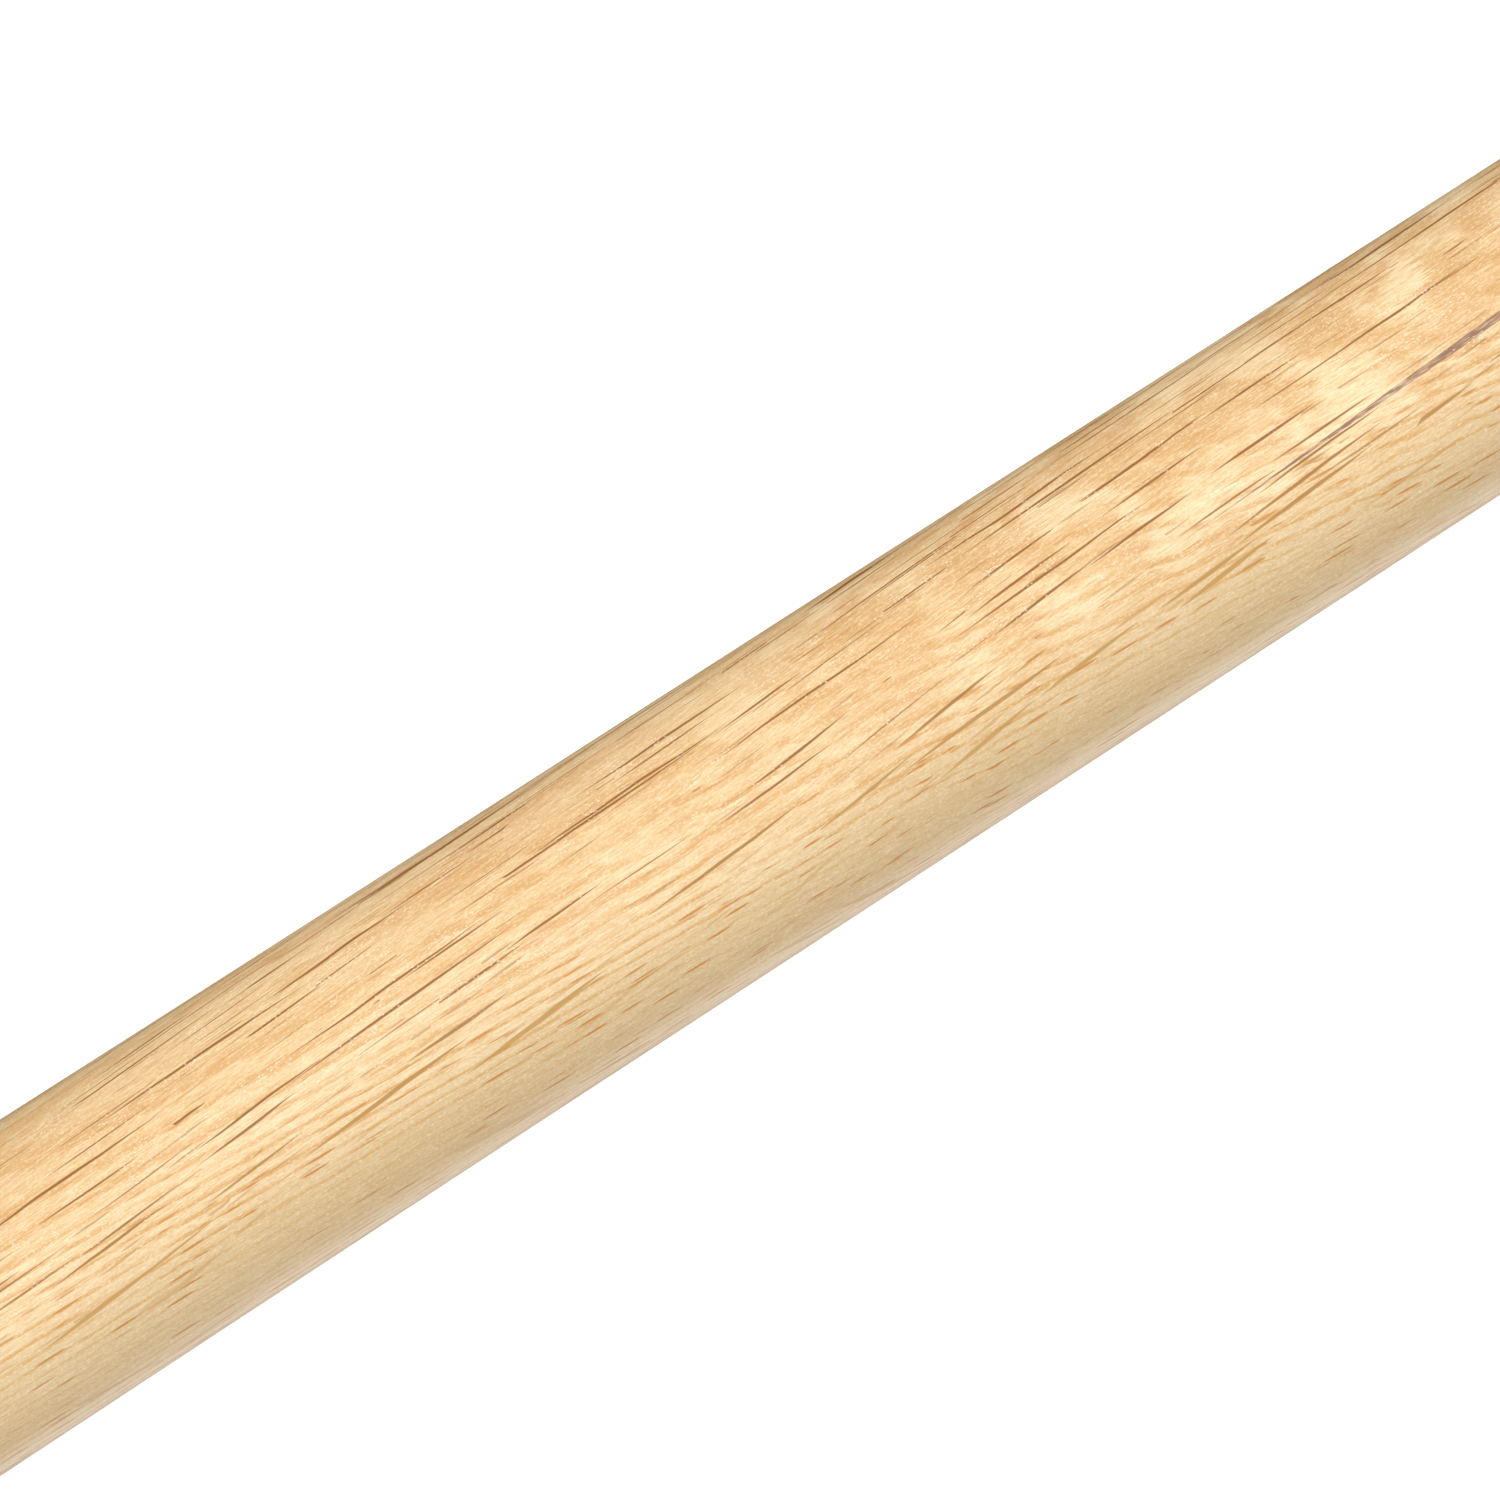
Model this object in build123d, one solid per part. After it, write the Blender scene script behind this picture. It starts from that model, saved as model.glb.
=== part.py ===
from build123d import *
import numpy as np
import os

# Wooden baseball bat, turned from a billet of three oak boards glued face to face.
# Sizes are in millimetres. The bat lies along +X from knob to barrel and the
# glue planes stand upright, parallel to XZ. The origin is the centre of the
# knob's flat end face.

# Overall sizes
LENGTH = 838.2
BARREL_D = 63.5
HANDLE_D = 24.2

# Billet: the boards' planed thicknesses
CORE_BOARD = 27.0
OUTER_BOARD = 20.6

# Knob
KNOB_D = 50.5
KNOB_FACE_D = 37.0
KNOB_WIDEST_X = 10.0
KNOB_ENDS_X = 62.0
KNOB_SHOULDER_PULL = 12.0
KNOB_NECK_PULL = 42.0

# Outline from the thinnest of the handle to the widest of the barrel:
# distance from the knob's face, and diameter
STATIONS = [
    (KNOB_ENDS_X, HANDLE_D),
    (165.0, 24.9),
    (249.0, 25.8),
    (350.0, 29.6),
    (450.0, 38.6),
    (550.0, 50.2),
    (650.0, 59.5),
    (760.0, BARREL_D),
]

# Shoulder, where the barrel starts to round over into its end
SHOULDER_X = 822.0
SHOULDER_D = 61.2
SHOULDER_SLOPE = -0.045

# Rounded barrel end with a hollowed cup
RIM_D = 45.0
LIP_R = 1.5
CUP_D = 39.0
CUP_DEPTH = 22.0

# Length of a Bezier handle, as a share of the side, that draws a quarter ellipse
ELLIPSE_PULL = 0.5523


def quarter_round(start, end, leaves_along_axis):
    """A quarter ellipse in the outline, leaving start along or across the bat's axis."""
    dx = ELLIPSE_PULL * (end[0] - start[0])
    dr = ELLIPSE_PULL * (end[1] - start[1])
    if leaves_along_axis:
        return Bezier(start, (start[0] + dx, start[1]), (end[0], end[1] - dr), end)
    return Bezier(start, (start[0], start[1] + dr), (end[0] - dx, end[1]), end)


def knob_outline():
    """Flat end face, rounded edge, then an S-curve down into the handle."""
    face_edge = (0, KNOB_FACE_D / 2)
    widest = (KNOB_WIDEST_X, KNOB_D / 2)
    neck = (KNOB_ENDS_X, HANDLE_D / 2)
    return [
        Line((0, 0), face_edge),
        quarter_round(face_edge, widest, leaves_along_axis=False),
        Bezier(
            widest,
            (widest[0] + KNOB_SHOULDER_PULL, widest[1]),
            (neck[0] - KNOB_NECK_PULL, neck[1]),
            neck,
        ),
    ]


def smooth_slopes(points):
    """Slopes at the points, level at both ends, that let cubic spans meet with one curvature."""
    x, r = np.array(points).T
    gap = np.diff(x)
    rate = np.diff(r) / gap
    system = np.eye(len(x))
    wanted = np.zeros(len(x))
    for i in range(1, len(x) - 1):
        before, after = gap[i - 1], gap[i]
        system[i, i - 1 : i + 2] = after, 2 * (before + after), before
        wanted[i] = 3 * (after * rate[i - 1] + before * rate[i])
    return np.linalg.solve(system, wanted)


def span(start, end):
    """A cubic span of the outline between two (distance, radius, slope) ends."""
    (x0, r0, slope0), (x1, r1, slope1) = start, end
    third = (x1 - x0) / 3
    return Bezier((x0, r0), (x0 + third, r0 + slope0 * third), (x1 - third, r1 - slope1 * third), (x1, r1))


def taper_outline():
    """The handle, the taper and the barrel, as far as the shoulder."""
    points = [(x, diameter / 2) for x, diameter in STATIONS]
    ends = [(x, r, float(slope)) for (x, r), slope in zip(points, smooth_slopes(points))]
    ends.append((SHOULDER_X, SHOULDER_D / 2, SHOULDER_SLOPE))
    return [span(start, end) for start, end in zip(ends, ends[1:])]


def barrel_end_outline():
    """Rounded end, narrow flat rim, rounded lip and the bowl of the cup."""
    shoulder = (SHOULDER_X, SHOULDER_D / 2)
    reach = ELLIPSE_PULL * (LENGTH - SHOULDER_X)
    rim = (LENGTH, RIM_D / 2)
    rise = ELLIPSE_PULL * (shoulder[1] - rim[1])
    rim_inner = (LENGTH, CUP_D / 2 + LIP_R)
    cup_mouth = (LENGTH - LIP_R, CUP_D / 2)
    cup_bottom = (LENGTH - CUP_DEPTH, 0)
    return [
        Bezier(
            shoulder,
            (SHOULDER_X + reach, shoulder[1] + reach * SHOULDER_SLOPE),
            (rim[0], rim[1] + rise),
            rim,
        ),
        Line(rim, rim_inner),
        quarter_round(rim_inner, cup_mouth, leaves_along_axis=False),
        quarter_round(cup_mouth, cup_bottom, leaves_along_axis=True),
        Line(cup_bottom, (0, 0)),
    ]


def turned_bat():
    """The whole bat as it leaves the lathe, before it is divided into its boards.

    The outline turns from straight down, so the surface's seam stays inside the core board.
    """
    outline = knob_outline() + taper_outline() + barrel_end_outline()
    return revolve(Rot(X=-90) * make_face(outline), Axis.X)


def board(low_y, high_y):
    """One board of the billet before turning, longer and wider than the bat."""
    width = high_y - low_y
    middle = Pos(LENGTH / 2, low_y + width / 2, 0)
    return middle * Box(LENGTH + 2 * OUTER_BOARD, width, 2 * BARREL_D)


def core_board(bat):
    """The middle board: it runs the full length and is the whole of the handle."""
    return bat & board(-CORE_BOARD / 2, CORE_BOARD / 2)


def side_boards(bat, side):
    """What the lathe leaves of an outer board: one piece at the knob, one at the barrel."""
    glue_plane = side * CORE_BOARD / 2
    outer_face = side * (CORE_BOARD / 2 + OUTER_BOARD)
    turned = bat & board(min(glue_plane, outer_face), max(glue_plane, outer_face))
    knob_piece, barrel_piece = turned.solids().sort_by(Axis.X)
    return knob_piece, barrel_piece


bat = turned_bat()
knob_left, barrel_left = side_boards(bat, 1)
knob_right, barrel_right = side_boards(bat, -1)
nodes = {
    "core_board": core_board(bat),
    "barrel_side_left": barrel_left,
    "barrel_side_right": barrel_right,
    "knob_side_left": knob_left,
    "knob_side_right": knob_right,
}

os.makedirs("parts", exist_ok=True)
for name, solid in nodes.items():
    export_step(solid, f"parts/{name}.step")
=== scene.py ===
import math
import random

import bmesh
import bpy
import numpy as np
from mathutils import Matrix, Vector


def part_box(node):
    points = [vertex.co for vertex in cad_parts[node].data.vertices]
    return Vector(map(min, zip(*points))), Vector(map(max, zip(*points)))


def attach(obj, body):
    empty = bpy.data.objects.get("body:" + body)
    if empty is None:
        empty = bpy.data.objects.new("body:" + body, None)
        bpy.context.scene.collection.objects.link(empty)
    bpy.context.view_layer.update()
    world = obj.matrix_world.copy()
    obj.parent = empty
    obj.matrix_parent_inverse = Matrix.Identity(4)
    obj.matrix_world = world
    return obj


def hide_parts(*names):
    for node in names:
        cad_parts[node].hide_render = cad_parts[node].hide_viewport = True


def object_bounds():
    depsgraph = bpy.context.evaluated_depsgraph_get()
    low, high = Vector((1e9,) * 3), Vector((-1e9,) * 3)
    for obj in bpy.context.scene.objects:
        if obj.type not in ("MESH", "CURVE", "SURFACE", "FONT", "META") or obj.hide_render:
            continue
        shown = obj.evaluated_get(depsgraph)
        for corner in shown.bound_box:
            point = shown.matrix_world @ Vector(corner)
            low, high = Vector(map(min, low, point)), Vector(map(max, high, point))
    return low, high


MM = 0.001  # metres in a millimetre

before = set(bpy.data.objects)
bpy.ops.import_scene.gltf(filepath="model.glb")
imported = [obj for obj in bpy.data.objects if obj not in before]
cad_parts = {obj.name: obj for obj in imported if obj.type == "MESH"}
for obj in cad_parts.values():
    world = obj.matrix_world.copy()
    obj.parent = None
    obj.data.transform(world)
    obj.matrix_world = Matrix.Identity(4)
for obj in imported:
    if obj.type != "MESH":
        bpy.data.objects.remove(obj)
cad_low, cad_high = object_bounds()

# ---------------------------------------------------------------- outline
# The lathe's outline, in millimetres: distance from the knob's face, and radius.
core_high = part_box("core_board")[1]
LENGTH = core_high.x / MM
GLUE_Y = core_high.y / MM  # the glue planes stand at this distance either side of the axis
BARREL_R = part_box("barrel_side_left")[1].y / MM
KNOB_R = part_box("knob_side_left")[1].y / MM

KNOB_FACE_R = 18.5
KNOB_WIDEST_X = 10.0
KNOB_ENDS_X = 62.0
KNOB_SHOULDER_PULL = 12.0
KNOB_NECK_PULL = 42.0
HANDLE_R = 12.1
BARREL_WIDEST_X = 760.0
STATIONS = [  # distance, radius
    (KNOB_ENDS_X, HANDLE_R),
    (165.0, 12.45),
    (249.0, 12.9),
    (350.0, 14.8),
    (450.0, 19.3),
    (550.0, 25.1),
    (650.0, 29.75),
    (BARREL_WIDEST_X, BARREL_R),
]
SHOULDER_X = 822.0
SHOULDER_R = 30.6
SHOULDER_SLOPE = -0.045
RIM_R = 22.5
LIP_R = 1.5
CUP_R = 19.5
CUP_DEPTH = 22.0
ELLIPSE_PULL = 0.5523  # Bezier handle that draws a quarter ellipse, as a share of the side

FACE_STEPS = 8  # rings across the knob's face
SPAN_STEP = 4.0  # between rings along the handle and barrel
CURVE_STEPS = 28  # rings along each rounding
RIM_STEPS = 2
LIP_STEPS = 8
ARC_STEPS = 72  # faces across each arc of a board

ON_HANDLE_X = 100.0  # somewhere between the side boards' knob pieces and barrel pieces
TOUCHING = 1e-9  # mm, a point this near the glue plane is on it
WELD = 1e-7  # m, points nearer than this are one point
SLIVER = 1e-8  # m, edges shorter than this are dropped


def bezier(p0, p1, p2, p3, steps):
    t = np.linspace(0, 1, steps + 1)[:, None]
    p0, p1, p2, p3 = (np.array(p, float) for p in (p0, p1, p2, p3))
    return (1 - t) ** 3 * p0 + 3 * (1 - t) ** 2 * t * p1 + 3 * (1 - t) * t**2 * p2 + t**3 * p3


def quarter_round(start, end, leaves_along_axis, steps):
    """A quarter ellipse, leaving start along or across the bat's axis."""
    dx, dr = (ELLIPSE_PULL * (e - s) for s, e in zip(start, end))
    if leaves_along_axis:
        return bezier(start, (start[0] + dx, start[1]), (end[0], end[1] - dr), end, steps)
    return bezier(start, (start[0], start[1] + dr), (end[0] - dx, end[1]), end, steps)


def straight(start, end, steps):
    t = np.linspace(0, 1, steps + 1)[:, None]
    return np.array(start, float) * (1 - t) + np.array(end, float) * t


def smooth_slopes(points):
    """Slopes at the points, level at both ends, that let cubic spans meet with one curvature."""
    x, r = np.array(points).T
    gap = np.diff(x)
    rate = np.diff(r) / gap
    system = np.eye(len(x))
    wanted = np.zeros(len(x))
    for i in range(1, len(x) - 1):
        before, after = gap[i - 1], gap[i]
        system[i, i - 1 : i + 2] = after, 2 * (before + after), before
        wanted[i] = 3 * (after * rate[i - 1] + before * rate[i])
    return np.linalg.solve(system, wanted)


def span(start, end):
    """A cubic span of the outline between two (distance, radius, slope) ends."""
    (x0, r0, slope0), (x1, r1, slope1) = start, end
    third = (x1 - x0) / 3
    return bezier((x0, r0), (x0 + third, r0 + slope0 * third),
                  (x1 - third, r1 - slope1 * third), (x1, r1), round((x1 - x0) / SPAN_STEP))


def knob_runs():
    face_edge = (0, KNOB_FACE_R)
    widest = (KNOB_WIDEST_X, KNOB_R)
    neck = (KNOB_ENDS_X, HANDLE_R)
    return [
        straight((0, 0), face_edge, FACE_STEPS),
        quarter_round(face_edge, widest, False, CURVE_STEPS),
        bezier(widest, (widest[0] + KNOB_SHOULDER_PULL, KNOB_R),
               (neck[0] - KNOB_NECK_PULL, HANDLE_R), neck, 2 * CURVE_STEPS),
    ]


def taper_runs():
    ends = [(x, r, slope) for (x, r), slope in zip(STATIONS, smooth_slopes(STATIONS))]
    ends.append((SHOULDER_X, SHOULDER_R, SHOULDER_SLOPE))
    return [span(start, end) for start, end in zip(ends, ends[1:])]


def barrel_end_runs():
    """Rounded end, narrow flat rim, rounded lip and the bowl of the cup."""
    reach = ELLIPSE_PULL * (LENGTH - SHOULDER_X)
    rise = ELLIPSE_PULL * (SHOULDER_R - RIM_R)
    mouth, bottom = (LENGTH - LIP_R, CUP_R), (LENGTH - CUP_DEPTH, 0)
    return [
        bezier((SHOULDER_X, SHOULDER_R), (SHOULDER_X + reach, SHOULDER_R + reach * SHOULDER_SLOPE),
               (LENGTH, RIM_R + rise), (LENGTH, RIM_R), CURVE_STEPS),
        straight((LENGTH, RIM_R), (LENGTH, CUP_R + LIP_R), RIM_STEPS),
        quarter_round((LENGTH, CUP_R + LIP_R), mouth, False, LIP_STEPS),
        quarter_round(mouth, bottom, True, CURVE_STEPS),
    ]


def with_crossings(path, radius):
    """The same points, and one wherever the outline passes through this radius."""
    out = [path[0]]
    for a, b in zip(path, path[1:]):
        if (a[1] - radius) * (b[1] - radius) < 0:
            t = (radius - a[1]) / (b[1] - a[1])
            out.append(np.array([a[0] + t * (b[0] - a[0]), radius]))
        out.append(b)
    return np.array(out)


def lathe_outline():
    """Points (x, r) from the centre of the knob's face, over the bat, to the bottom of the cup."""
    runs = knob_runs() + taper_runs() + barrel_end_runs()
    path = np.vstack([runs[0]] + [run[1:] for run in runs[1:]])
    return with_crossings(path, GLUE_Y)


# ---------------------------------------------------------------- boards
def arc_points(x, r, centre, half):
    """Points across an arc, by angle from straight up towards +Y."""
    a = centre + half * np.linspace(-1, 1, ARC_STEPS + 1)
    return np.column_stack([np.full_like(a, x), r * np.sin(a), r * np.cos(a)])


def skin_strip(bm, path, centre, half_of):
    """A strip of the lathe's surface, one arc for each point of the outline."""
    rows = []
    for x, r in path:
        rows.append([bm.verts.new(p * MM) for p in arc_points(x, r, centre, half_of(r))])
    for low, high in zip(rows, rows[1:]):
        for i in range(ARC_STEPS):
            bm.faces.new((low[i], low[i + 1], high[i + 1], high[i]))


def corner_angle(r):
    """Angle from straight up to a glue plane, on a circle of this radius."""
    return math.asin(min(1.0, GLUE_Y / r)) if r > 0 else math.pi / 2


def new_object(name, bm):
    mesh = bpy.data.meshes.new(name)
    bm.to_mesh(mesh)
    bm.free()
    obj = bpy.data.objects.new(name, mesh)
    bpy.context.scene.collection.objects.link(obj)
    return obj


def finish_board(bm, name):
    """Closes a board with its glue faces, then makes the object."""
    bmesh.ops.remove_doubles(bm, verts=bm.verts, dist=WELD)
    bmesh.ops.dissolve_degenerate(bm, edges=bm.edges, dist=SLIVER)
    for face in bm.faces:
        face.smooth = True
    open_edges = [e for e in bm.edges if len(e.link_faces) == 1]
    glue_faces = bmesh.ops.holes_fill(bm, edges=open_edges, sides=0)["faces"]
    for face in glue_faces:
        face.smooth = False
        for edge in face.edges:
            edge.smooth = False
    bmesh.ops.triangulate(bm, faces=glue_faces)
    bmesh.ops.recalc_face_normals(bm, faces=bm.faces)
    return new_object(name, bm)


def make_core(path):
    """The middle board: its top and bottom are the lathe's surface."""
    bm = bmesh.new()
    for centre in (0.0, math.pi):
        skin_strip(bm, path, centre, corner_angle)
    return finish_board(bm, "core_board_oak")


def make_side(path, side, name):
    """One end of an outer board, side +1 towards +Y or -1 towards -Y."""
    bm = bmesh.new()
    skin_strip(bm, path, side * math.pi / 2, lambda r: math.pi / 2 - corner_angle(r))
    return finish_board(bm, name)


path = lathe_outline()
wide = path[:, 1] >= GLUE_Y - TOUCHING
outer = {
    "knob": path[wide & (path[:, 0] < ON_HANDLE_X)],
    "barrel": path[wide & (path[:, 0] > ON_HANDLE_X)],
}
boards = {"core_board": make_core(path)}
for label, side in (("left", 1), ("right", -1)):
    for end, stretch in outer.items():
        node = f"{end}_side_{label}"
        boards[node] = make_side(stretch, side, f"{node}_oak")


# ---------------------------------------------------------------- node helper
CELL_RANDOMNESS = 0.85  # less than 1, so that cells don't cut the rays' ends off


class Graph:
    """Short names for the shader nodes used below."""

    def __init__(self, tree):
        tree.nodes.clear()
        self.tree = tree

    def new(self, kind, **settings):
        node = self.tree.nodes.new(kind)
        for key, value in settings.items():
            setattr(node, key, value)
        return node

    def put(self, socket, value):
        """Links a node's output, or sets a plain value."""
        if isinstance(value, bpy.types.NodeSocket):
            self.tree.links.new(value, socket)
        elif value is not None:
            socket.default_value = value

    def math(self, op, a, b=None, c=None):
        node = self.new("ShaderNodeMath", operation=op)
        for socket, value in zip(node.inputs, (a, b, c)):
            self.put(socket, value)
        return node.outputs[0]

    def add(self, a, b):
        return self.math("ADD", a, b)

    def sub(self, a, b):
        return self.math("SUBTRACT", a, b)

    def mul(self, a, b):
        return self.math("MULTIPLY", a, b)

    def div(self, a, b):
        return self.math("DIVIDE", a, b)

    def fma(self, a, b, c):
        return self.math("MULTIPLY_ADD", a, b, c)

    def absolute(self, a):
        return self.math("ABSOLUTE", a)

    def largest(self, a, b):
        return self.math("MAXIMUM", a, b)

    def over(self, a, b):
        return self.math("GREATER_THAN", a, b)

    def under(self, a, b):
        return self.math("LESS_THAN", a, b)

    def step(self, value, low, high, to_low=0.0, to_high=1.0):
        """Smooth step from to_low to to_high as the value goes from low to high."""
        node = self.new("ShaderNodeMapRange", interpolation_type="SMOOTHSTEP")
        for i, v in enumerate((value, low, high, to_low, to_high)):
            self.put(node.inputs[i], v)
        return node.outputs[0]

    def vector(self, x, y, z):
        node = self.new("ShaderNodeCombineXYZ")
        for socket, value in zip(node.inputs, (x, y, z)):
            self.put(socket, value)
        return node.outputs[0]

    def parts(self, vector):
        node = self.new("ShaderNodeSeparateXYZ")
        self.put(node.inputs[0], vector)
        return node.outputs

    def scaled(self, vector, factors, shift=(0, 0, 0)):
        node = self.new("ShaderNodeVectorMath", operation="MULTIPLY_ADD")
        for socket, value in zip(node.inputs, (vector, factors, shift)):
            self.put(socket, value)
        return node.outputs[0]

    def sized(self, vector, size, shift=(0, 0, 0)):
        """A position scaled so that one unit of a pattern has this size in mm on each axis."""
        return self.scaled(vector, tuple(1 / s for s in size), shift)

    def noise(self, vector, detail=2.0, rough=0.5, distortion=0.0, colour=False):
        node = self.new("ShaderNodeTexNoise")
        self.put(node.inputs["Vector"], vector)
        node.inputs["Scale"].default_value = 1.0
        node.inputs["Detail"].default_value = detail
        node.inputs["Roughness"].default_value = rough
        node.inputs["Distortion"].default_value = distortion
        return node.outputs["Color" if colour else "Fac"]

    def wander(self, vector, size, shift):
        """Smooth random offsets, about -0.5 to 0.5 on each axis."""
        colour = self.noise(self.sized(vector, size, shift), 1.0, colour=True)
        return self.parts(self.scaled(colour, (1, 1, 1), (-0.5, -0.5, -0.5)))

    def cells(self, vector):
        """Nearest cell's distance, random colour and position."""
        node = self.new("ShaderNodeTexVoronoi", feature="F1")
        self.put(node.inputs["Vector"], vector)
        node.inputs["Scale"].default_value = 1.0
        node.inputs["Randomness"].default_value = CELL_RANDOMNESS
        return node.outputs["Distance"], node.outputs["Color"], node.outputs["Position"]

    def mix(self, factor, a, b):
        node = self.new("ShaderNodeMix", data_type="RGBA", blend_type="MIX")
        for i, value in ((0, factor), (6, a), (7, b)):
            self.put(node.inputs[i], value)
        return node.outputs[2]


def new_material(name):
    """A material with an empty tree, and the graph that fills it."""
    material = bpy.data.materials.new(name)
    material.use_nodes = True
    return material, Graph(material.node_tree)


def srgb(r, g, b):
    """Linear colour from 0-255 screen values."""
    def linear(c):
        c /= 255
        return c / 12.92 if c <= 0.04045 else ((c + 0.055) / 1.055) ** 2.4
    return (linear(r), linear(g), linear(b), 1.0)


# ---------------------------------------------------------------- oak: colours
CREAM = srgb(243, 217, 173)
CREAM_SHADE = srgb(236, 205, 157)
# FLAT_TINT_AND_SHADE and QUARTER_TINT_AND_SHADE: partly the wood's own colour on flat-sawn and quarter-sawn
# faces, partly painted shade on the sides of the handle
FLAT_TINT_AND_SHADE = srgb(230, 193, 138)
QUARTER_TINT_AND_SHADE = srgb(213, 188, 144)
TAN = srgb(221, 175, 116)
GOLD = srgb(216, 170, 104)
# painted sheen: the lit and the shaded bands of the curly grain
PAINTED_CURL_SHEEN = srgb(252, 228, 184)
PAINTED_CURL_SHADE = srgb(216, 170, 110)
FIBRE_DARK = srgb(206, 156, 92)
FIBRE_LIGHT = srgb(254, 232, 192)
VESSEL = srgb(202, 136, 66)
RAY_EDGE = srgb(148, 92, 28)
RAY_FLECK = srgb(200, 156, 90)
STREAK = srgb(146, 106, 84)
# painted highlight: the colour of the glints in the vessels
GLINT_PAINT = srgb(255, 246, 226)
GLUE = srgb(158, 112, 64)
OUTER_TONE = srgb(206, 160, 108)
END_TONE = srgb(196, 146, 92)

# ---------------------------------------------------------------- oak: sizes
# Sizes in mm along the log's radius, round it and along the grain, unless a comment says otherwise.
SWAY_SIZE = (70, 30, 30)  # slow bends of the grain, along the bat and across it
SWAY = 3.0
RIPPLE_SIZE = (18, 7, 7)  # smaller ones, likewise
RIPPLE = 0.45

FIBRE_SIZE = (0.13, 0.13, 2.2)
GRIT_SIZE = (0.15, 0.15, 0.3)
STRAND_SIZE = (0.35, 0.35, 12)
SHADE_SIZE = (3.5, 4, 45)

CURL_PERIOD = 7.5
CURL_DEPTH = 14  # size along the log's radius
CURL_LEAN = 0.05
CURL_FRAY = 0.7  # how far the strands pull the curl's edges about
CURL_TWIST = 0.7
NEAR_KNOB = (215, 118)  # the curl grows between these distances from the knob's face
CURL_AWAY, CURL_NEAR = 0.3, 1.3  # mm that the curl moves a ring

DIVE_BETWEEN = (170, 60)  # distances from the knob's face
DRIFT_SIZE = (6, 40, 140)
RING_DRIFT = 2.4  # rings
BROKEN_SIZE = (0.7, 1.2, 14)

VESSEL_SIZE = (0.36, 0.34, 5.0)
VESSEL_SHARE = 0.5
SPECK_SIZE = (0.14, 0.14, 0.35)
SPECK_SHARE = 0.36
CLUSTER_SIZE = (1.5, 2, 7)

RAY_DEPTH = 28  # how far a ray sheet runs along the log's radius
RAY_SHIFT_ALONG, RAY_SHIFT_DEEP = 0.37, 0.11  # shares of the pattern's shift on the other two axes
RAY_CELL_HALF = 0.44  # half length of a ray, as a share of its pitch
RAY_LEAST, RAY_SPREAD = 0.45, 0.9  # shares of the half width
RAY_SOFT = 0.045
BIG_RAYS = (3.2, 26.0, 0.095, 0.5)  # pitch round the log, pitch along it, half width, shift
MID_RAYS = (2.1, 12.0, 0.080, 9.3)
SMALL_RAYS = (1.3, 5.0, 0.06, 21.7)
SMALL_SHARE = 0.35

# The longest rays on top of the handle lie in lanes along the grain
RAY_SEED = 3
LANES = 10
LANE_FIRST_Y = -11.4
LANE_PITCH = 1.85
LANE_SWAY = 0.6
LANE_START_X = 80.0
LANE_END_X = 262.0
RAY_REACH = (4.5, 10.5)  # half length: shortest, longest
RAY_GAP = (16.0, 58.0)  # end to end in a lane: shortest, longest
RAY_SLOPE = 0.058  # at the crown
RAY_SLOPE_GAIN = 0.004  # more for each mm towards +Y
RAY_SLOPE_SPREAD = 0.012
RAY_WIDTH_Y = (-11.0, 1.0, 4.5)  # the cut turns along the rays towards +Y, so they widen
RAY_HALF_WIDTH = (0.085, 0.115, 0.2)
RAY_WANDER_SIZE = (9, 3, math.inf)  # along the bat and across it
RAY_WANDER = 0.5
LANES_Z = (0.0, 1.0)  # where the lanes' region fades in and out, in the bat's frame
LANES_X_IN = (80, 96)
LANES_X_OUT = (268, 250)
LANES_Y = (-10.5, -8.0)

# The mineral streak on top of the handle
STREAK_START_X = 131.0
STREAK_FULL_X = 92.0
STREAK_END_X = 55.0
STREAK_TIP = 4.0  # fades in over this length at its thin end
STREAK_TAIL = 15.0
STREAK_Y = 0.7
STREAK_SLOPE = 0.047
STREAK_HALF_WIDTH = 0.36
STREAK_LEAN = -30.0  # degrees

GLUE_LINE = (0.22, 0.05)  # distance from the glue plane where the stain starts, and where it is full

# ---------------------------------------------------------------- oak: ramps
# Steps in `square` (how squarely the surface crosses the rays: 1 on a face cut along the rings,
# 0 on one cut along the rays): from, to, and the strengths at those two.
FLAT_SAWN = (0.45, 0.85)
STRAND_SHIFT = (0.3, 0.8, 0.35, 0.45)
EARLY_LENGTH = (0.3, 0.8, 0.44, 0.66)  # share of a ring
EARLY_GAPS = (0.5, 0.9, 0.15, 0.5)
EARLY_SHOW = (0.05, 0.45, 0.35, 1.0)
CURL_SHOW = (0.35, 0.8)
FIBRE_SHOW = (0.2, 0.8, 0.35, 0.65)
VESSEL_SHOW = (0.45, 0.85, 0.9, 0.35)
# these two also paint shade: darker towards both sides of the handle, greyer on the quarter-sawn side
FLAT_TINT_AND_SHADE_RAMP = (0.72, 1.0, 0.0, 0.75)
QUARTER_TINT_AND_SHADE_RAMP = (0.72, 0.25, 0.0, 0.5)
RAY_STRENGTH = (0.05, 0.38, 0.05, 1.0)
RAY_SHOW = (0.05, 0.4, 0.7, 0.97)
SMALL_RAY_SHOW = (0.08, 0.35, 0.05, 0.55)
RAY_COLOUR = (0.35, 0.85)

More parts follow.
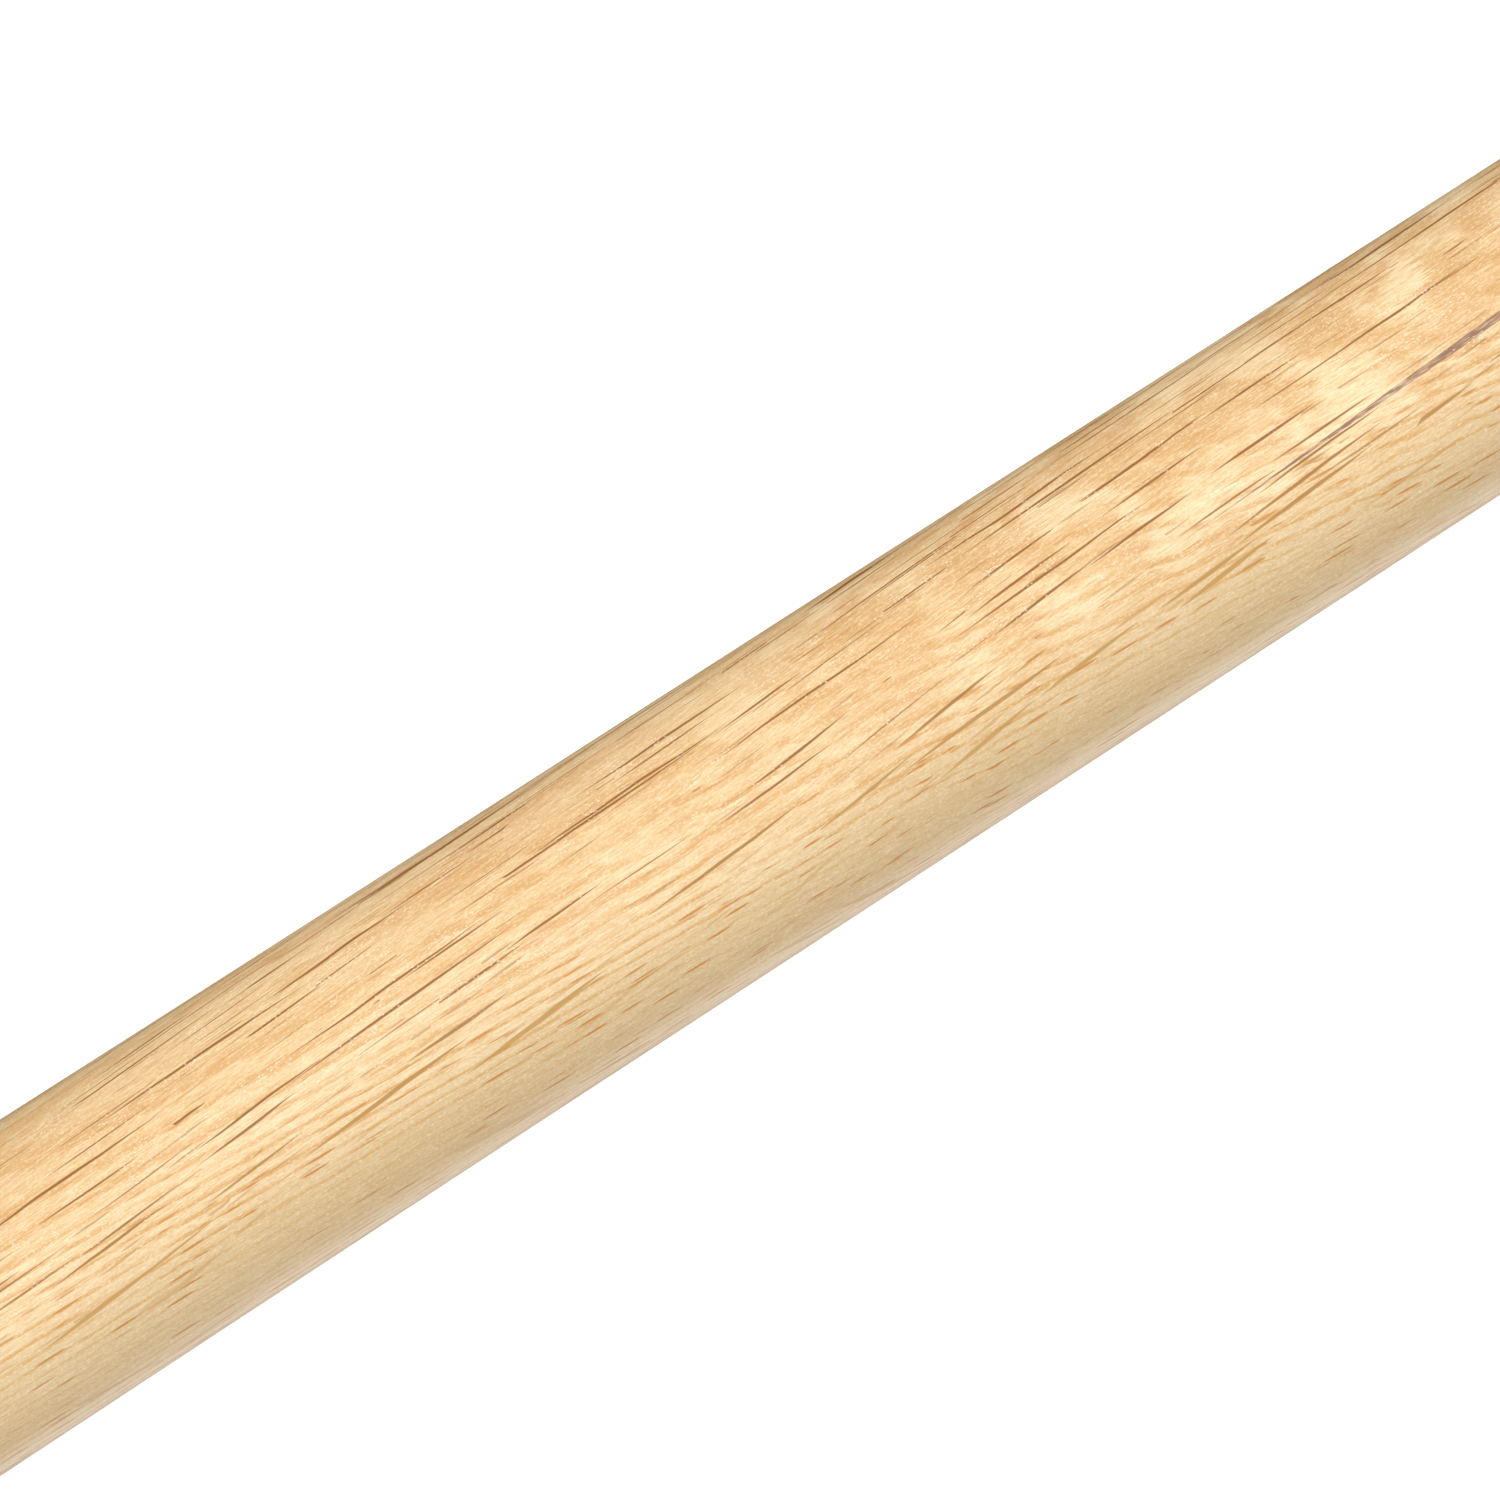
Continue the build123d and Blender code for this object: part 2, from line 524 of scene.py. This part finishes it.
# Steps in other values
END_GRAIN = (0.5, 0.9)  # how far the surface faces along the bat
EARLY_RISE = (0.0, 0.10)  # share of a ring
EARLY_FADED = 0.2
VESSEL_RISE = (0.0, 0.06)
VESSEL_FALL = (0.5, 0.36)
BROKEN = (0.34, 0.56)
VESSEL_EDGE = (0.40, 0.24)
SPECK_EDGE = (0.40, 0.2)
CLUSTERS = (0.46, 0.62)
RAY_TIPS = (0.0, 0.12)
LONG_RAY_EDGE = (-0.05, 0.04)
STREAK_EDGE = (-0.06, 0.03)
STREAK_MOTTLE = (0.4, 0.65, 1.0, 0.5)
SHADE_STEP = (0.3, 0.7)
CURL_LIT = (0.02, 0.16)
CURL_SHADED = (0.04, -0.08)
FIBRE_SHADED = (0.62, 0.2)
FIBRE_LIT = (0.5, 0.8)
GRIT_SHADED = (0.5, 0.2, 0.0, 0.28)
GRIT_LIT = (0.5, 0.8, 0.0, 0.5)

# Strengths
# strength of the painted sheen on the curly grain
PAINTED_SHEEN_MIX = 0.65
GLINT_PAINT_MIX = 0.7
GLUE_MIX = 0.6
END_MIX = 0.25
END_RAYS = 0.6
OUTER_KEEP = (0.8, 0.5)  # shares of the big and middle rays kept on the outer boards
CORE_KEEP = (0.85, 0.7)  # and on the core board
LANES_CLEAR = (-0.62, -0.1)  # fewer of them among the lanes

# Lacquered surface
ROUGHNESS = 0.38
FIBRE_ROUGHNESS = 0.1
VESSEL_ROUGHNESS = 0.15
SPECULAR = 0.35
COAT = 0.12
COAT_ROUGHNESS = 0.28
COAT_IOR = 1.5
BUMP = 0.35
BUMP_DISTANCE = 0.00006  # m
FIBRE_HEIGHT = 0.25
RAY_HEIGHT = 0.4


class Board:
    """How a board was cut from its log.

    bark_angle: direction from the pith to the bark, from straight up towards +Y, degrees
    pith_distance: from the pith to the bat's axis, mm
    rise, spiral: slope of the grain towards the bark and round the log
    ring: mean width of a growth ring, mm
    curl: how strongly the grain ripples towards the knob, and how strong the painted sheen of the curl is
    there
    dive: how far the rings swing across the handle towards the knob, mm
    tone: how much darker than the core board
    seed: shifts the random patterns
    is_core: has the mineral streak and the lanes of long rays
    """

    def __init__(self, bark_angle, pith_distance, rise, spiral, ring, curl, dive, tone, seed, is_core=False):
        self.bark_angle, self.pith_distance = bark_angle, pith_distance
        self.rise, self.spiral, self.ring = rise, spiral, ring
        self.curl, self.dive, self.tone = curl, dive, tone
        self.seed, self.is_core = seed, is_core


class Cut:
    """The surface at the shaded point: where it is in the log, and how it cuts the grain."""

    def __init__(self, g, board):
        self.radius, self.arc, self.x, self.p = grain_space(g, board)
        self.grain = g.vector(self.radius, self.arc, self.x)
        bark = math.radians(board.bark_angle)
        normal = g.parts(g.new("ShaderNodeNewGeometry").outputs["Normal"])
        facing = g.add(g.mul(normal[1], math.sin(bark)), g.mul(normal[2], math.cos(bark)))
        self.square = g.absolute(facing)
        self.flat_sawn = g.step(self.square, *FLAT_SAWN)
        self.end_grain = g.step(g.absolute(normal[0]), *END_GRAIN)
        self.near_knob = g.step(self.x, *NEAR_KNOB)


def grain_space(g, board):
    """Position in the log (radius, arc round it, length along it) and in the bat, in mm."""
    coords = g.new("ShaderNodeTexCoord").outputs["Object"]
    p = g.scaled(coords, (1 / MM,) * 3)
    x, y, z = g.parts(p)
    sway = g.wander(p, SWAY_SIZE, (board.seed, 0, 0))
    ripple = g.wander(p, RIPPLE_SIZE, (0, board.seed, 0))
    a = math.radians(board.bark_angle)
    bark = (math.sin(a), math.cos(a))
    around = (math.cos(a), -math.sin(a))
    moved = []
    for axis, value in enumerate((y, z)):
        slope = board.rise * bark[axis] + board.spiral * around[axis]
        value = g.fma(x, -slope, value)
        value = g.fma(sway[axis], SWAY, value)
        value = g.fma(ripple[axis], RIPPLE, value)
        moved.append(g.add(value, bark[axis] * board.pith_distance))
    outward = g.add(g.mul(moved[0], bark[0]), g.mul(moved[1], bark[1]))
    across = g.add(g.mul(moved[0], around[0]), g.mul(moved[1], around[1]))
    radius = g.math("SQRT", g.add(g.mul(outward, outward), g.mul(across, across)))
    arc = g.mul(g.math("ARCTAN2", across, outward), board.pith_distance)
    return radius, arc, x, p


def growth_rings(g, board, cut, strand):
    """(place in the ring from 0 to 1, early wood mask, curl), rippled where the grain is curly."""
    curl_at = g.vector(g.fma(g.sub(strand, 0.5), CURL_FRAY, g.fma(cut.x, 1 / CURL_PERIOD, board.seed)),
                       g.fma(cut.x, CURL_LEAN, g.mul(cut.arc, 1 / CURL_PERIOD)),
                       g.mul(cut.radius, 1 / CURL_DEPTH))
    curl = g.sub(g.noise(curl_at, 2.0, 0.5, CURL_TWIST), 0.5)
    curl_reach = g.fma(cut.near_knob, CURL_NEAR * board.curl, CURL_AWAY * board.curl)
    depth = g.fma(curl, curl_reach, cut.radius)
    depth = g.fma(g.sub(strand, 0.5), g.step(cut.square, *STRAND_SHIFT), depth)
    depth = g.add(depth, g.step(cut.x, *DIVE_BETWEEN, 0.0, board.dive))
    drift = g.noise(g.sized(cut.grain, DRIFT_SIZE, (board.seed, 1, 2)), 1.0)
    phase = g.math("FRACT", g.fma(drift, RING_DRIFT, g.mul(depth, 1 / board.ring)))
    early_end = g.step(cut.square, *EARLY_LENGTH)
    early = g.mul(g.step(phase, *EARLY_RISE), g.step(phase, early_end, EARLY_FADED))
    return phase, early, curl


def vessels(g, board, cut, phase):
    """Short grooves in the early wood."""
    distance, colour, _ = g.cells(g.sized(cut.grain, VESSEL_SIZE, (board.seed, 4, 4)))
    pick = g.parts(colour)[0]
    groove = g.mul(g.step(distance, *VESSEL_EDGE), g.under(pick, VESSEL_SHARE))
    return g.mul(groove, g.mul(g.step(phase, *VESSEL_RISE), g.step(phase, *VESSEL_FALL)))


def painted_glints(g, board, cut):
    """Painted highlights: bright specks where the cut ends of vessels catch the light, put into the colour.
    """
    distance, colour, _ = g.cells(g.sized(cut.grain, SPECK_SIZE, (board.seed, 8, 1)))
    pick = g.parts(colour)[0]
    cluster = g.noise(g.sized(cut.grain, CLUSTER_SIZE, (1, board.seed, 7)), 1.5)
    speck = g.mul(g.step(distance, *SPECK_EDGE), g.under(pick, SPECK_SHARE))
    return g.mul(g.mul(speck, g.step(cluster, *CLUSTERS)), cut.flat_sawn)


def scattered_rays(g, board, cut, kind, keep):
    """Medullary rays: thin upright sheets, lens-shaped along the grain."""
    pitch_round, pitch_along, half_width, shift = kind
    shift = board.seed + shift
    at = g.vector(g.fma(cut.arc, 1 / pitch_round, shift),
                  g.fma(cut.x, 1 / pitch_along, RAY_SHIFT_ALONG * shift),
                  g.fma(cut.radius, 1 / RAY_DEPTH, RAY_SHIFT_DEEP * shift))
    _, colour, position = g.cells(at)
    at_round, at_along, _ = g.parts(at)
    cell_round, cell_along, _ = g.parts(position)
    pick, size, _ = g.parts(colour)
    off = g.absolute(g.sub(at_round, cell_round))
    up = g.div(g.absolute(g.sub(at_along, cell_along)), RAY_CELL_HALF)
    lens = g.sub(1.0, g.mul(up, up))
    most, least = RAY_SPREAD * half_width / pitch_round, RAY_LEAST * half_width / pitch_round
    width = g.mul(lens, g.fma(size, most, least))
    soft = RAY_SOFT / pitch_round
    mask = g.step(g.sub(width, off), -soft, soft)
    return g.mul(g.mul(mask, g.step(lens, *RAY_TIPS)), g.under(pick, keep))


def long_ray_layout():
    """The longest rays, lane by lane: middle x and y, half length, slope and half width."""
    draw = random.Random(RAY_SEED)
    layout = []
    for lane in range(LANES):
        x = LANE_START_X + draw.uniform(0, RAY_GAP[1])
        while x < LANE_END_X:
            y = LANE_FIRST_Y + lane * LANE_PITCH + draw.uniform(-LANE_SWAY, LANE_SWAY)
            reach = draw.uniform(*RAY_REACH)
            spread = draw.uniform(-RAY_SLOPE_SPREAD, RAY_SLOPE_SPREAD)
            slope = RAY_SLOPE + RAY_SLOPE_GAIN * y + spread
            half = float(np.interp(y, RAY_WIDTH_Y, RAY_HALF_WIDTH))
            layout.append((x + reach, y, reach, slope, half))
            x += 2 * reach + draw.uniform(*RAY_GAP)
    return layout


def long_rays(g, p):
    """The longest rays on top of the handle, each a thin lens along the grain."""
    wander = g.sub(g.noise(g.sized(p, RAY_WANDER_SIZE, (4, 4, 0)), 1.0), 0.5)
    x, y, z = g.parts(p)
    y = g.fma(wander, RAY_WANDER, y)
    best = None
    for mid_x, mid_y, reach, slope, half in long_ray_layout():
        along = g.fma(x, 1 / reach, -mid_x / reach)
        lens = g.fma(along, g.mul(along, -1.0), 1.0)
        off = g.absolute(g.sub(g.fma(x, -slope, y), mid_y - slope * mid_x))
        inside = g.sub(g.mul(lens, half), off)
        best = inside if best is None else g.largest(best, inside)
    return g.mul(g.step(best, *LONG_RAY_EDGE), g.over(z, 0.0))


def among_lanes(g, p):
    """1 on the part of the core board where the long rays lie, fading out round it."""
    x, y, z = g.parts(p)
    along = g.mul(g.step(x, *LANES_X_IN), g.step(x, *LANES_X_OUT))
    return g.mul(g.mul(g.step(z, *LANES_Z), along), g.step(y, *LANES_Y))


def all_rays(g, board, cut):
    """Masks of the large rays and of the small ones."""
    if board.is_core:
        lanes = among_lanes(g, cut.p)
        keep_big, keep_mid = (g.fma(lanes, clear, keep) for clear, keep in zip(LANES_CLEAR, CORE_KEEP))
    else:
        keep_big, keep_mid = OUTER_KEEP
    large = g.largest(scattered_rays(g, board, cut, BIG_RAYS, keep_big),
                      scattered_rays(g, board, cut, MID_RAYS, keep_mid))
    large = g.mul(large, g.largest(g.mul(cut.end_grain, END_RAYS), g.step(cut.square, *RAY_STRENGTH)))
    if board.is_core:
        large = g.largest(large, long_rays(g, cut.p))
    return large, scattered_rays(g, board, cut, SMALL_RAYS, SMALL_SHARE)


def mineral_streak(g, p, fibre):
    """A dark mineral streak in a sheet along the rays, widening towards the knob."""
    x, y, z = g.parts(p)
    line = g.fma(x, STREAK_SLOPE, STREAK_Y - STREAK_SLOPE * STREAK_START_X)
    line = g.fma(g.sub(z, HANDLE_R), math.tan(math.radians(STREAK_LEAN)), line)
    off = g.absolute(g.sub(y, line))
    half = g.mul(g.step(x, STREAK_START_X, STREAK_FULL_X), STREAK_HALF_WIDTH)
    body = g.step(g.sub(half, off), *STREAK_EDGE)
    ends = g.mul(g.step(x, STREAK_END_X, STREAK_END_X + STREAK_TAIL),
                 g.step(x, STREAK_START_X, STREAK_START_X - STREAK_TIP))
    mottle = g.step(fibre, *STREAK_MOTTLE)
    return g.mul(g.mul(body, mottle), g.mul(ends, g.over(z, 0.0)))


def glue_lines(g, p):
    """Stain along the two glue planes."""
    return g.step(g.absolute(g.sub(g.absolute(g.parts(p)[1]), GLUE_Y)), *GLUE_LINE)


def lacquered(g, colour, fibre, vessel, ray):
    shader = g.new("ShaderNodeBsdfPrincipled")
    g.put(shader.inputs["Base Color"], colour)
    g.put(shader.inputs["Roughness"],
          g.fma(vessel, VESSEL_ROUGHNESS, g.fma(fibre, FIBRE_ROUGHNESS, ROUGHNESS)))
    shader.inputs["Specular IOR Level"].default_value = SPECULAR
    shader.inputs["Coat Weight"].default_value = COAT
    shader.inputs["Coat Roughness"].default_value = COAT_ROUGHNESS
    shader.inputs["Coat IOR"].default_value = COAT_IOR
    bump = g.new("ShaderNodeBump")
    bump.inputs["Strength"].default_value = BUMP
    bump.inputs["Distance"].default_value = BUMP_DISTANCE
    g.put(bump.inputs["Height"], g.sub(g.mul(fibre, FIBRE_HEIGHT), g.add(vessel, g.mul(ray, RAY_HEIGHT))))
    g.put(shader.inputs["Normal"], bump.outputs[0])
    out = g.new("ShaderNodeOutputMaterial")
    g.put(out.inputs["Surface"], shader.outputs[0])


def oak_material(name, board):
    material, g = new_material(name)
    cut = Cut(g, board)
    square = cut.square
    fibre = g.noise(g.sized(cut.grain, FIBRE_SIZE), 2.0, 0.6)
    grit = g.noise(g.sized(cut.grain, GRIT_SIZE, (5, 5, 5)), 1.0)
    strand = g.noise(g.sized(cut.grain, STRAND_SIZE, (7, 2, board.seed)), 2.0, 0.6)
    shade = g.noise(g.sized(cut.grain, SHADE_SIZE, (2, board.seed, 5)), 2.0, 0.5)
    broken = g.noise(g.sized(cut.grain, BROKEN_SIZE, (3, board.seed, 1)), 2.0, 0.6)
    phase, early, curl = growth_rings(g, board, cut, strand)
    vessel = vessels(g, board, cut, phase)
    ray, small_ray = all_rays(g, board, cut)

    # the wood between the pores
    colour = g.mix(g.step(shade, *SHADE_STEP), CREAM, CREAM_SHADE)
    # tints by how the surface crosses the rays: partly the wood's own colour, partly painted shade that
    # darkens and greys the handle's sides
    colour = g.mix(g.step(square, *FLAT_TINT_AND_SHADE_RAMP), colour, FLAT_TINT_AND_SHADE)
    colour = g.mix(g.step(square, *QUARTER_TINT_AND_SHADE_RAMP), colour, QUARTER_TINT_AND_SHADE)
    early = g.mul(early, g.step(broken, *BROKEN, g.step(square, *EARLY_GAPS), 1.0))
    early = g.mul(early, g.largest(cut.end_grain, g.step(square, *EARLY_SHOW)))
    colour = g.mix(early, colour, g.mix(cut.flat_sawn, GOLD, TAN))
    # painted sheen: lit and shaded bands across the curly grain near the knob, the shimmer of curly wood
    # painted into the colour
    painted_sheen_mix = g.mul(g.mul(g.mul(cut.near_knob, board.curl), g.step(square, *CURL_SHOW)), PAINTED_SHEEN_MIX)
    colour = g.mix(g.mul(g.step(curl, *CURL_LIT), painted_sheen_mix), colour, PAINTED_CURL_SHEEN)
    colour = g.mix(g.mul(g.step(curl, *CURL_SHADED), painted_sheen_mix), colour, PAINTED_CURL_SHADE)

    # fibres and pores
    fibre_mix = g.step(square, *FIBRE_SHOW)
    colour = g.mix(g.mul(g.step(fibre, *FIBRE_SHADED), fibre_mix), colour, FIBRE_DARK)
    colour = g.mix(g.mul(g.step(fibre, *FIBRE_LIT), fibre_mix), colour, FIBRE_LIGHT)
    colour = g.mix(g.step(grit, *GRIT_SHADED), colour, FIBRE_DARK)
    colour = g.mix(g.step(grit, *GRIT_LIT), colour, FIBRE_LIGHT)
    colour = g.mix(g.mul(vessel, g.step(square, *VESSEL_SHOW)), colour, VESSEL)

    # rays: dark lines where they are cut across, golden flecks where they are cut along
    ray_tone = g.mix(g.step(square, *RAY_COLOUR), RAY_FLECK, RAY_EDGE)
    colour = g.mix(g.mul(small_ray, g.step(square, *SMALL_RAY_SHOW)), colour, ray_tone)
    colour = g.mix(g.mul(ray, g.step(square, *RAY_SHOW)), colour, ray_tone)

    if board.is_core:
        colour = g.mix(mineral_streak(g, cut.p, fibre), colour, STREAK)
    # painted highlights: glints of the vessels, mixed into the base colour
    colour = g.mix(g.mul(painted_glints(g, board, cut), GLINT_PAINT_MIX), colour, GLINT_PAINT)
    colour = g.mix(board.tone, colour, OUTER_TONE)
    colour = g.mix(g.mul(cut.end_grain, END_MIX), colour, END_TONE)
    colour = g.mix(g.mul(glue_lines(g, cut.p), GLUE_MIX), colour, GLUE)
    lacquered(g, colour, fibre, vessel, ray)
    return material


core_oak = Board(bark_angle=-42, pith_distance=95, rise=0.042, spiral=0.040, ring=0.95,
                 curl=1.0, dive=5.5, tone=0.0, seed=1.3, is_core=True)
left_oak = Board(bark_angle=115, pith_distance=70, rise=0.030, spiral=-0.012, ring=1.35,
                 curl=0.4, dive=0.0, tone=0.25, seed=5.1)
right_oak = Board(bark_angle=-75, pith_distance=80, rise=-0.028, spiral=0.010, ring=1.25,
                  curl=0.4, dive=0.0, tone=0.16, seed=8.7)
for label, board, nodes in (("core", core_oak, ("core_board",)),
                            ("left", left_oak, ("barrel_side_left", "knob_side_left")),
                            ("right", right_oak, ("barrel_side_right", "knob_side_right"))):
    oak = oak_material(f"oak_{label}", board)
    for node in nodes:
        piece = boards[node]
        piece.data.materials.append(oak)
        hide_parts(node)
        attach(piece, "root")

# ---------------------------------------------------------------- floor
FLOOR_HALF = 6.0
FLOOR_CELLS = 8
PAPER = (0.8, 0.8, 0.8, 1)
WHITE = (1, 1, 1, 1)
FLOOR_GLOW = 0.5


def paper_material():
    """White paper, lit a little from within so that it stays white away from the light."""
    material, g = new_material("white_table")
    paper = g.new("ShaderNodeBsdfDiffuse")
    paper.inputs["Color"].default_value = PAPER
    glow = g.new("ShaderNodeEmission")
    glow.inputs["Color"].default_value = WHITE
    glow.inputs["Strength"].default_value = FLOOR_GLOW
    both = g.new("ShaderNodeAddShader")
    g.put(both.inputs[0], paper.outputs[0])
    g.put(both.inputs[1], glow.outputs[0])
    out = g.new("ShaderNodeOutputMaterial")
    g.put(out.inputs["Surface"], both.outputs[0])
    return material


def make_floor():
    """The table that the bat lies on, touching it at the knob and the barrel."""
    bm = bmesh.new()
    bmesh.ops.create_grid(bm, x_segments=FLOOR_CELLS, y_segments=FLOOR_CELLS, size=FLOOR_HALF)
    floor = new_object("floor", bm)
    floor.location = (BARREL_WIDEST_X * MM, 0, -BARREL_R * MM)
    tilt = math.atan2(BARREL_R - KNOB_R, BARREL_WIDEST_X - KNOB_WIDEST_X)
    floor.rotation_euler = (0, tilt, 0)
    floor.data.materials.append(paper_material())
    floor.visible_diffuse = False
    floor.visible_glossy = False


make_floor()

# ---------------------------------------------------------------- light
DOME_LEAN = 17  # degrees, the brightest part of the dome, from straight up towards -Y
DOME_LEVEL = 0.56
DOME_SLOPE = 1.5
CARD_LEVEL = 2.1
CARD_Y = (0.25, 0.55)  # the bounce card's edges, by direction
CARD_Z = (-0.34, -0.62)
BACKDROP = 1.1
KEY_AT_Y = -0.15
KEY_AT_Z = 1.3
KEY_SIZE = (1.8, 0.3)
KEY_POWER = 3.0


def make_world():
    """A soft dome, brighter overhead, with a bounce card low on the +Y side; the camera sees white."""
    world = bpy.data.worlds.new("studio")
    bpy.context.scene.world = world
    world.use_nodes = True
    g = Graph(world.node_tree)
    direction = g.parts(g.new("ShaderNodeTexCoord").outputs["Generated"])
    lean = math.radians(DOME_LEAN)
    toward = g.add(g.mul(direction[1], -math.sin(lean)), g.mul(direction[2], math.cos(lean)))
    dome = g.largest(g.mul(g.fma(toward, DOME_SLOPE, 1.0), DOME_LEVEL), 0.0)
    card = g.mul(g.step(direction[1], *CARD_Y), g.step(direction[2], *CARD_Z))
    lighting = g.new("ShaderNodeBackground")
    lighting.inputs["Color"].default_value = WHITE
    g.put(lighting.inputs["Strength"], g.fma(card, CARD_LEVEL, dome))
    seen = g.new("ShaderNodeBackground")
    seen.inputs["Color"].default_value = WHITE
    seen.inputs["Strength"].default_value = BACKDROP
    pick = g.new("ShaderNodeMixShader")
    g.put(pick.inputs[0], g.new("ShaderNodeLightPath").outputs["Is Camera Ray"])
    g.put(pick.inputs[1], lighting.outputs[0])
    g.put(pick.inputs[2], seen.outputs[0])
    out = g.new("ShaderNodeOutputWorld")
    g.put(out.inputs["Surface"], pick.outputs[0])


def make_key(centre):
    """A long soft box over the bat."""
    data = bpy.data.lights.new("key", "AREA")
    data.shape = "RECTANGLE"
    data.size, data.size_y = KEY_SIZE
    data.energy = KEY_POWER
    key = bpy.data.objects.new("key", data)
    bpy.context.scene.collection.objects.link(key)
    key.location = (centre.x, KEY_AT_Y, KEY_AT_Z)
    key.rotation_euler = (centre - key.location).to_track_quat("-Z", "Y").to_euler()
    key.visible_camera = False


make_world()
make_key((cad_low + cad_high) / 2)

# ---------------------------------------------------------------- camera
AIM = Vector((0.169, -0.00445, 0.0))
VIEW_WIDTH = 0.1292  # m across the picture, at the bat's axis
AXIS_ANGLE = 32.9  # degrees, the axis in the picture from level
LENS = 100.0
SENSOR = 36.0
CLIP_START = 0.01


def make_camera():
    """Straight above the handle, looking down."""
    data = bpy.data.cameras.new("camera")
    data.lens = LENS
    data.sensor_width = SENSOR
    data.clip_start = CLIP_START
    camera = bpy.data.objects.new("camera", data)
    bpy.context.scene.collection.objects.link(camera)
    camera.location = AIM + Vector((0, 0, LENS / SENSOR * VIEW_WIDTH))
    camera.rotation_euler = (0, 0, math.radians(180 - AXIS_ANGLE))
    return camera


bpy.context.scene.camera = make_camera()
bpy.context.scene.view_settings.view_transform = "Standard"
bpy.context.scene.view_settings.look = "None"
